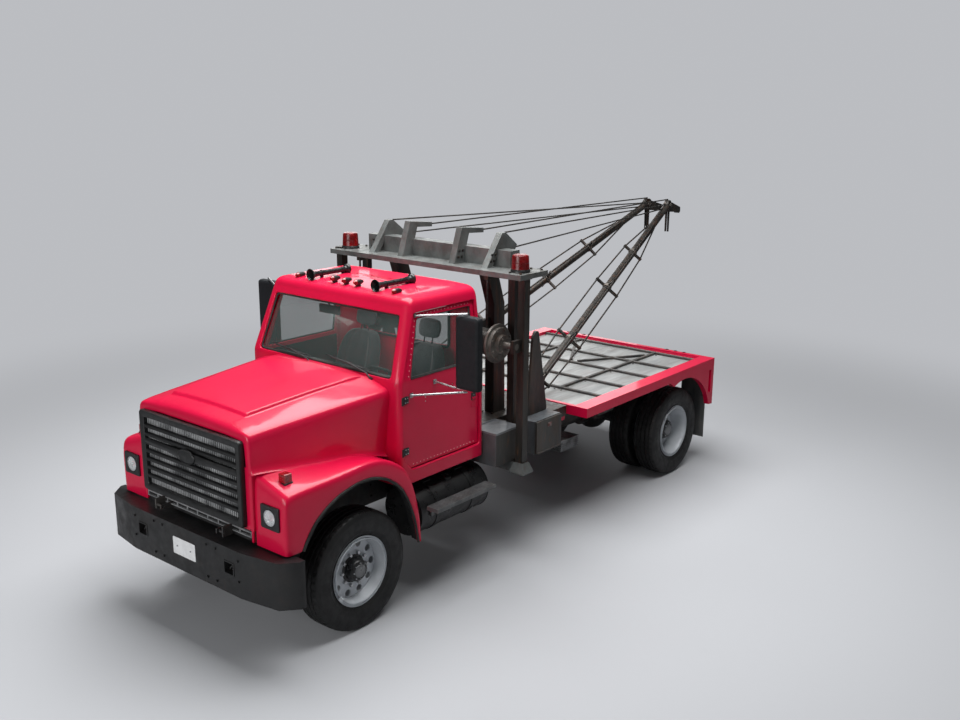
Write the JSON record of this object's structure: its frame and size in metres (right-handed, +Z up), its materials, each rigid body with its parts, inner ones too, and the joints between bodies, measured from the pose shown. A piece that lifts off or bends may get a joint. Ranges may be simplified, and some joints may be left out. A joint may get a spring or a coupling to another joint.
{
  "type": "tow truck",
  "caption": "Conventional-cab tow truck with a flat deck, a mast behind the cab and twin swinging lattice-stayed booms held by taut topping lines.",
  "frame": {"origin": "on the floor under the middle of the truck's overall length, on its centre line", "axes": "+X forward, +Y to the truck's left, +Z up"},
  "size_m": [7.757, 2.87, 3.14],
  "materials": {
    "red_paint": "gloss, deep red",
    "black_paint": "satin black",
    "frame_black": "matt chassis black",
    "radiator_grey": "fine finned core",
    "engine_grey": "rough",
    "wheel_silver": "silver, slightly worn",
    "tyre": "matt tread rubber",
    "glass": "grey green tint",
    "black_plastic": "satin",
    "seat_cloth": "dark grey cloth",
    "deck_steel": "worn grey steel",
    "gear_steel": "dark worn steel with rust",
    "galvanised": "dull galvanised steel",
    "wire_rope": "oiled wire rope",
    "box_paint": "grey blue, dusty",
    "lamp_red": "translucent red",
    "lamp_clear": "clear lens",
    "rubber": "grey mud flap rubber"
  },
  "bodies": {
    "chassis": {"chassis_frame": "frame_black", "front_bumper": "black_paint", "radiator": "radiator_grey", "engine": "engine_grey", "cab_floor": "red_paint", "cab_roof": "red_paint", "cab_back": "red_paint", "cab_cowl": "red_paint", "cab_sides": "red_paint", "cab_glass": "glass", "seats": "seat_cloth", "dashboard": "black_plastic", "steering_wheel": "black_plastic", "air_horns": "black_paint", "fuel_tanks": "black_paint", "tank_steps": "deck_steel", "front_axle": "frame_black", "rear_axle": "frame_black", "leaf_springs": "frame_black", "driveshaft": "frame_black", "bed_frame": "red_paint", "deck": "deck_steel", "mud_flaps": "rubber", "gantry": "galvanised", "mast_posts": "gear_steel", "winch_tower": "gear_steel", "side_plates": "gear_steel", "beacons": "lamp_red", "toolboxes": "box_paint"},
    "hood": {"hood": "red_paint", "fenders": "red_paint", "grille": "black_paint", "headlamps": "lamp_clear"},
    "door_left": {"door_left": "red_paint", "door_glass_left": "glass", "mirror_left": "black_plastic"},
    "knuckle_left": {"knuckle_left": "frame_black"},
    "front_wheel_left": {"front_rim_left": "wheel_silver", "front_tyre_left": "tyre"},
    "rear_wheels_left": {"rear_rims_left": "wheel_silver", "rear_tyres_left": "tyre"},
    "boom_left": {"boom_left": "gear_steel", "boom_lines_left": "wire_rope"},
    "winch_drum_left": {"winch_drum_left": "gear_steel"},
    "toolbox_lid_left": {"toolbox_lid_left": "box_paint"},
    "toolbox_door_left": {"toolbox_door_left": "box_paint"},
    "door_right": {"door_right": "red_paint", "door_glass_right": "glass", "mirror_right": "black_plastic"},
    "knuckle_right": {"knuckle_right": "frame_black"},
    "front_wheel_right": {"front_rim_right": "wheel_silver", "front_tyre_right": "tyre"},
    "rear_wheels_right": {"rear_rims_right": "wheel_silver", "rear_tyres_right": "tyre"},
    "boom_right": {"boom_right": "gear_steel", "boom_lines_right": "wire_rope"},
    "winch_drum_right": {"winch_drum_right": "gear_steel"},
    "toolbox_lid_right": {"toolbox_lid_right": "box_paint"},
    "toolbox_door_right": {"toolbox_door_right": "box_paint"},
    "tie_rod": {"tie_rod": "frame_black"}
  },
  "joints": [
    {"name": "hood_tilt", "type": "hinge", "parent": "chassis", "child": "hood", "pos_m": [3.80847, 0, 1.02], "axis": [0, 1, 0], "range_deg": [0, 65]},
    {"name": "door_left_swing", "type": "hinge", "parent": "chassis", "child": "door_left", "pos_m": [2.29847, 0.964, 1.62], "axis": [0, 0, -1], "range_deg": [0, 70]},
    {"name": "steer_left", "type": "hinge", "parent": "chassis", "child": "knuckle_left", "pos_m": [2.87847, 0.745, 0.52], "axis": [0, 0, 1], "range_deg": [-32, 32]},
    {"name": "front_wheel_left_spin", "type": "hinge", "parent": "knuckle_left", "child": "front_wheel_left", "pos_m": [2.87847, 0.902, 0.52], "axis": [0, 1, 0], "continuous": true},
    {"name": "rear_wheels_left_spin", "type": "hinge", "parent": "chassis", "child": "rear_wheels_left", "pos_m": [-2.11153, 1.043, 0.52], "axis": [0, 1, 0], "continuous": true},
    {"name": "boom_left_swing", "type": "hinge", "parent": "chassis", "child": "boom_left", "pos_m": [0.31847, 0.74, 1.34], "axis": [-0.1564, 0, -0.9877], "range_deg": [0, 40]},
    {"name": "winch_left_spin", "type": "hinge", "parent": "chassis", "child": "winch_drum_left", "pos_m": [1.02847, 0.8, 2.13], "axis": [0, 1, 0], "continuous": true},
    {"name": "toolbox_lid_left_lift", "type": "hinge", "parent": "chassis", "child": "toolbox_lid_left", "pos_m": [1.03047, 0.83, 1.32], "axis": [1, 0, 0], "range_deg": [0, 95]},
    {"name": "toolbox_door_left_drop", "type": "hinge", "parent": "chassis", "child": "toolbox_door_left", "pos_m": [0.47847, 1.2, 0.996], "axis": [-1, 0, 0], "range_deg": [0, 90]},
    {"name": "door_right_swing", "type": "hinge", "parent": "chassis", "child": "door_right", "pos_m": [2.29847, -0.964, 1.62], "axis": [0, 0, 1], "range_deg": [0, 70]},
    {"name": "steer_right", "type": "hinge", "parent": "chassis", "child": "knuckle_right", "pos_m": [2.87847, -0.745, 0.52], "axis": [0, 0, 1], "range_deg": [-32, 32]},
    {"name": "front_wheel_right_spin", "type": "hinge", "parent": "knuckle_right", "child": "front_wheel_right", "pos_m": [2.87847, -0.902, 0.52], "axis": [0, 1, 0], "continuous": true},
    {"name": "rear_wheels_right_spin", "type": "hinge", "parent": "chassis", "child": "rear_wheels_right", "pos_m": [-2.11153, -1.043, 0.52], "axis": [0, 1, 0], "continuous": true},
    {"name": "boom_right_swing", "type": "hinge", "parent": "chassis", "child": "boom_right", "pos_m": [0.31847, -0.74, 1.34], "axis": [0.1564, 0, 0.9877], "range_deg": [0, 40]},
    {"name": "winch_right_spin", "type": "hinge", "parent": "chassis", "child": "winch_drum_right", "pos_m": [1.02847, -0.8, 2.13], "axis": [0, 1, 0], "continuous": true},
    {"name": "toolbox_lid_right_lift", "type": "hinge", "parent": "chassis", "child": "toolbox_lid_right", "pos_m": [1.03047, -0.83, 1.32], "axis": [-1, 0, 0], "range_deg": [0, 95]},
    {"name": "toolbox_door_right_drop", "type": "hinge", "parent": "chassis", "child": "toolbox_door_right", "pos_m": [0.47847, -1.2, 0.996], "axis": [1, 0, 0], "range_deg": [0, 90]},
    {"name": "tie_rod_pivot", "type": "hinge", "parent": "knuckle_left", "child": "tie_rod", "pos_m": [2.66847, 0.735, 0.375], "axis": [0, 0, 1], "range_deg": [-32, 32]}
  ],
  "couplings": [
    {"joint": "steer_right", "follows": "steer_left", "ratio": 1},
    {"joint": "tie_rod_pivot", "follows": "steer_left", "ratio": -1}
  ]
}
